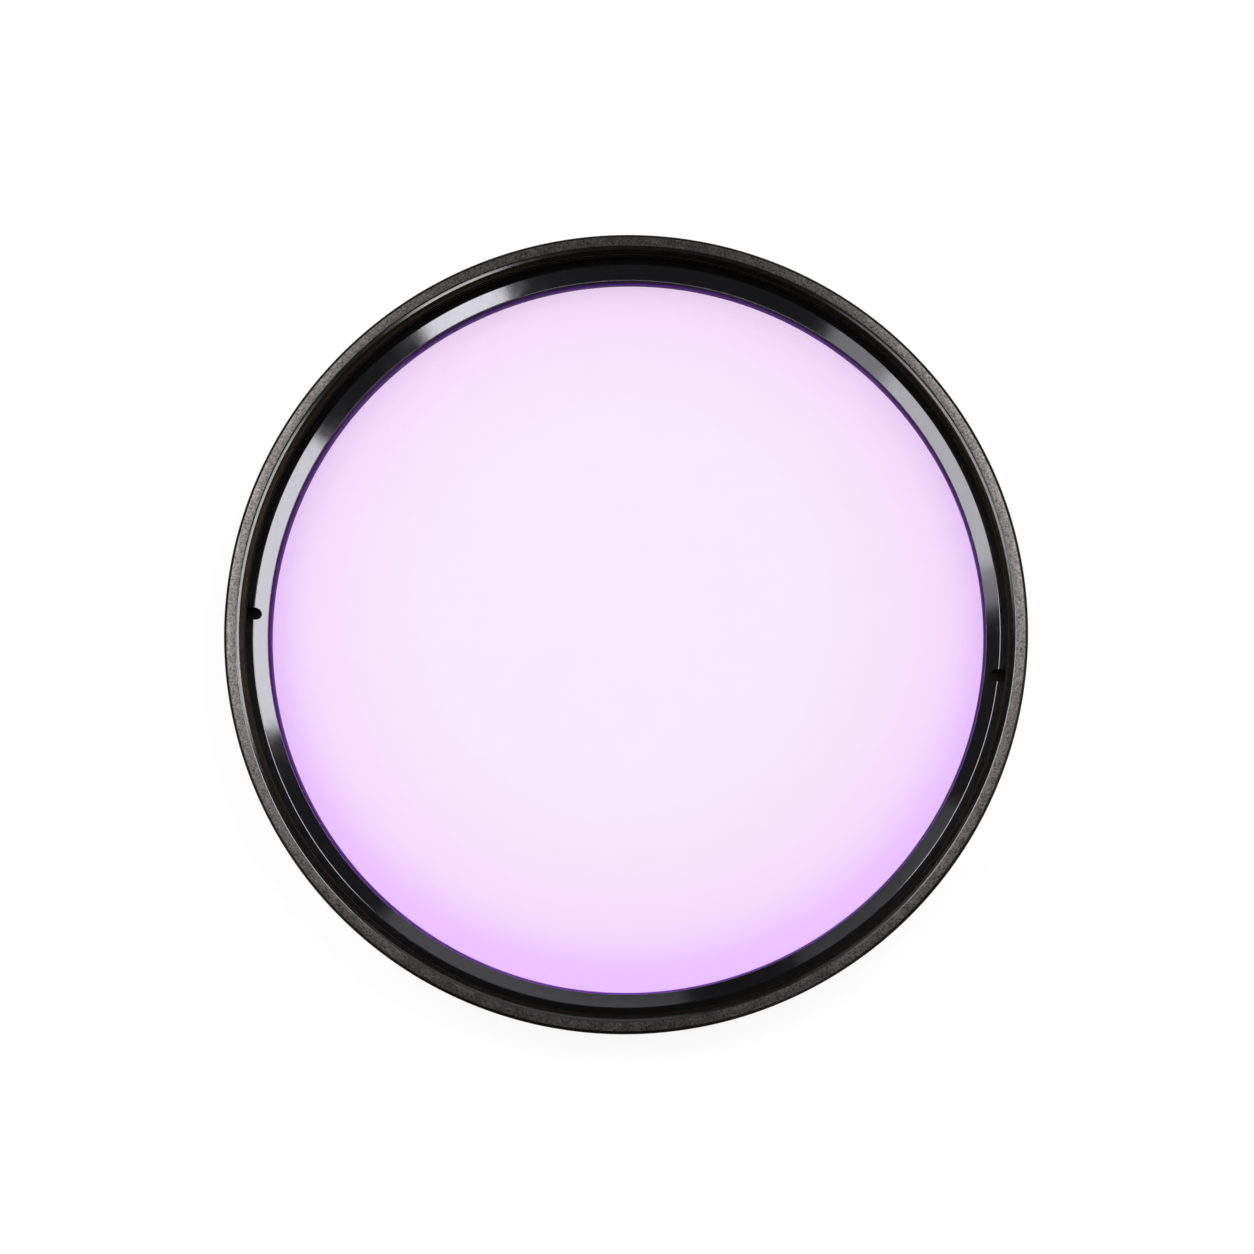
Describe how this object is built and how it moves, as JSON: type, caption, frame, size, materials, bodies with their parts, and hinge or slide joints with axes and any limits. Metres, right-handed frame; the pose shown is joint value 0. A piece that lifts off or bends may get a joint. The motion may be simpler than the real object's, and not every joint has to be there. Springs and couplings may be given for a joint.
{
  "type": "fluorescence filter",
  "caption": "Round screw-in camera filter: pale magenta glass held in a thin black threaded frame by a bevelled retaining ring with spanner notches.",
  "frame": {"origin": "centre of the rear face of the male thread, on which the filter lies", "axes": "+Z along the optical axis, from the lens side to the front; +X through one spanner notch of the retaining ring"},
  "size_m": [0.08, 0.08, 0.0076],
  "materials": {
    "frame_black": "satin black anodised",
    "magenta_glass": "clear polished, dyed pale magenta",
    "ring_black": "gloss black anodised bevel, matt flat band"
  },
  "bodies": {
    "root": {"frame_ring": "frame_black", "filter_glass": "magenta_glass", "retaining_ring": "ring_black"}
  },
  "joints": []
}
